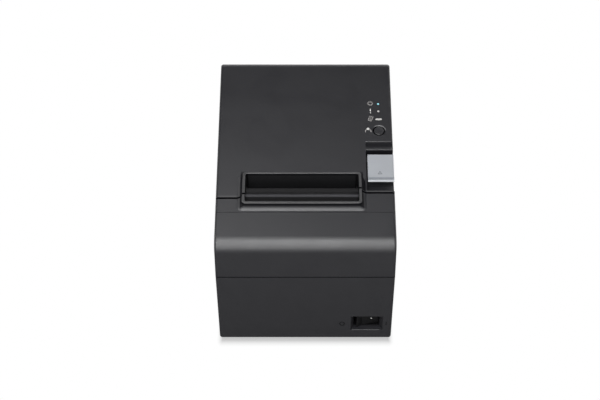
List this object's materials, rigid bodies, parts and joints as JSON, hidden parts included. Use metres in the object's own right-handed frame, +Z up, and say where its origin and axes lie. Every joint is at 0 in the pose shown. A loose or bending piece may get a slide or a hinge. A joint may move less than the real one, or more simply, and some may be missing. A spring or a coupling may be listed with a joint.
{
  "type": "receipt printer",
  "caption": "Compact desktop thermal receipt printer: black case with a sloping hinged roll cover, raised paper slot, grey opening lever and front power switch.",
  "frame": {"origin": "on the table, under the middle of the case", "axes": "+Z up, front towards -Y, +X to the right of someone who faces the front"},
  "size_m": [0.14, 0.199, 0.146],
  "materials": {
    "case_black": "fine matt grain, charcoal black",
    "inner_black": "moulded black, matt",
    "rocker_black": "satin black",
    "lever_grey": "light silver grey, matt",
    "button_black": "soft black",
    "power_light": "clear lens, pale cyan",
    "lens_white": "milky white lens",
    "plate_steel": "zinc-plated sheet",
    "foot_rubber": "black rubber",
    "screw_steel": "zinc-plated",
    "ceramic": "glazed ceramic",
    "heat_sink": "die-cast, plain",
    "pin_steel": "ground steel",
    "spring_steel": "spring steel",
    "gear_white": "natural acetal",
    "pinion_brass": "turned brass",
    "motor_can": "plated can",
    "platen_rubber": "ground black rubber",
    "bush_white": "natural acetal",
    "blade_steel": "hardened, ground edge",
    "knob_blue": "moulded",
    "board_green": "solder resist",
    "chip_black": "moulded package",
    "chip_white": "moulded package",
    "ribbon_white": "flat flexible cable",
    "socket_metal": "tin-plated shell",
    "socket_black": "moulded black"
  },
  "bodies": {
    "base": {"lower_case": "case_black", "base_plate": "plate_steel", "rubber_feet": "foot_rubber", "case_screws": "screw_steel", "upper_case": "case_black", "paper_guide": "inner_black", "paper_bay": "inner_black", "chassis": "plate_steel", "chassis_screws": "screw_steel", "head_pin": "pin_steel", "head_spring": "spring_steel", "feed_motor": "motor_can", "gear_stud": "pin_steel", "cutter_frame": "inner_black", "cutter_motor": "motor_can", "main_board": "board_green", "board_chips": "chip_black", "board_screws": "screw_steel", "head_ribbon": "ribbon_white", "usb_socket": "socket_metal", "lan_socket": "socket_metal", "drawer_socket": "socket_black", "power_socket": "socket_black", "connector_panel": "plate_steel", "paper_sensor": "chip_black", "switch_housing": "inner_black", "hinge_pin": "pin_steel"},
    "cover": {"roll_cover": "case_black", "cover_liner": "inner_black", "fixed_blade": "blade_steel", "blade_screws": "screw_steel", "platen_bushes": "bush_white", "lever_pin": "inner_black", "power_lens": "power_light", "error_lens": "lens_white", "paper_lens": "lens_white", "indicator_board": "board_green", "indicator_leds": "chip_white", "button_switch": "chip_black"},
    "platen": {"platen_shaft": "pin_steel", "platen_rubber": "platen_rubber", "platen_gear": "gear_white"},
    "reduction": {"reduction_gear": "gear_white"},
    "motor_rotor": {"motor_shaft": "pin_steel", "motor_pinion": "pinion_brass"},
    "print_head": {"thermal_head": "ceramic", "head_heat_sink": "heat_sink"},
    "lever": {"open_lever": "lever_grey"},
    "button": {"feed_button": "button_black"},
    "rocker": {"power_rocker": "rocker_black"},
    "hood": {"cutter_cover": "case_black"},
    "blade": {"moving_blade": "blade_steel"},
    "blade_drive": {"cutter_pinion": "gear_white", "cutter_knob": "knob_blue"}
  },
  "joints": [
    {"name": "cover_hinge", "type": "hinge", "parent": "base", "child": "cover", "pos_m": [0, 0.08846, 0.0706], "axis": [-1, 0, 0], "range_deg": [0, 95]},
    {"name": "platen_spin", "type": "hinge", "parent": "cover", "child": "platen", "pos_m": [0, -0.0384, 0.09], "axis": [1, 0, 0], "continuous": true},
    {"name": "reduction_spin", "type": "hinge", "parent": "base", "child": "reduction", "pos_m": [0, -0.0424, 0.06634], "axis": [1, 0, 0], "continuous": true},
    {"name": "motor_spin", "type": "hinge", "parent": "base", "child": "motor_rotor", "pos_m": [0, -0.0574, 0.05194], "axis": [1, 0, 0], "continuous": true},
    {"name": "head_tilt", "type": "hinge", "parent": "base", "child": "print_head", "pos_m": [0, -0.0484, 0.079], "axis": [1, 0, 0], "range_deg": [0, 2.5], "stiffness_Nm_per_rad": 4, "springref_deg": -2.86},
    {"name": "lever_lift", "type": "hinge", "parent": "cover", "child": "lever", "pos_m": [0.0597, -0.01922, 0.11924], "axis": [-1, 0, 0], "range_deg": [0, 22], "stiffness_Nm_per_rad": 0.05, "springref_deg": -11.46},
    {"name": "button_press", "type": "slide", "parent": "cover", "child": "button", "axis": [0, 0.226, -0.9741], "range_m": [0, 0.0008], "stiffness_N_per_m": 400, "springref_m": -0.001},
    {"name": "rocker_tip", "type": "hinge", "parent": "base", "child": "rocker", "pos_m": [0.04905, -0.09, 0.019], "axis": [0, 0, -1], "range_deg": [0, 24]},
    {"name": "hood_slide", "type": "slide", "parent": "base", "child": "hood", "axis": [0, -1, 0], "range_m": [0, 0.018]},
    {"name": "blade_slide", "type": "slide", "parent": "base", "child": "blade", "axis": [0, 1, 0], "range_m": [0, 0.007]},
    {"name": "blade_drive_spin", "type": "hinge", "parent": "base", "child": "blade_drive", "pos_m": [0.03, -0.066, 0.104], "axis": [0, 0, 1], "range_deg": [0, 80.3]}
  ],
  "couplings": [
    {"joint": "reduction_spin", "follows": "platen_spin", "ratio": -0.5},
    {"joint": "motor_spin", "follows": "platen_spin", "ratio": 1.6667},
    {"joint": "blade_drive_spin", "follows": "blade_slide", "rad_per_m": 200}
  ]
}
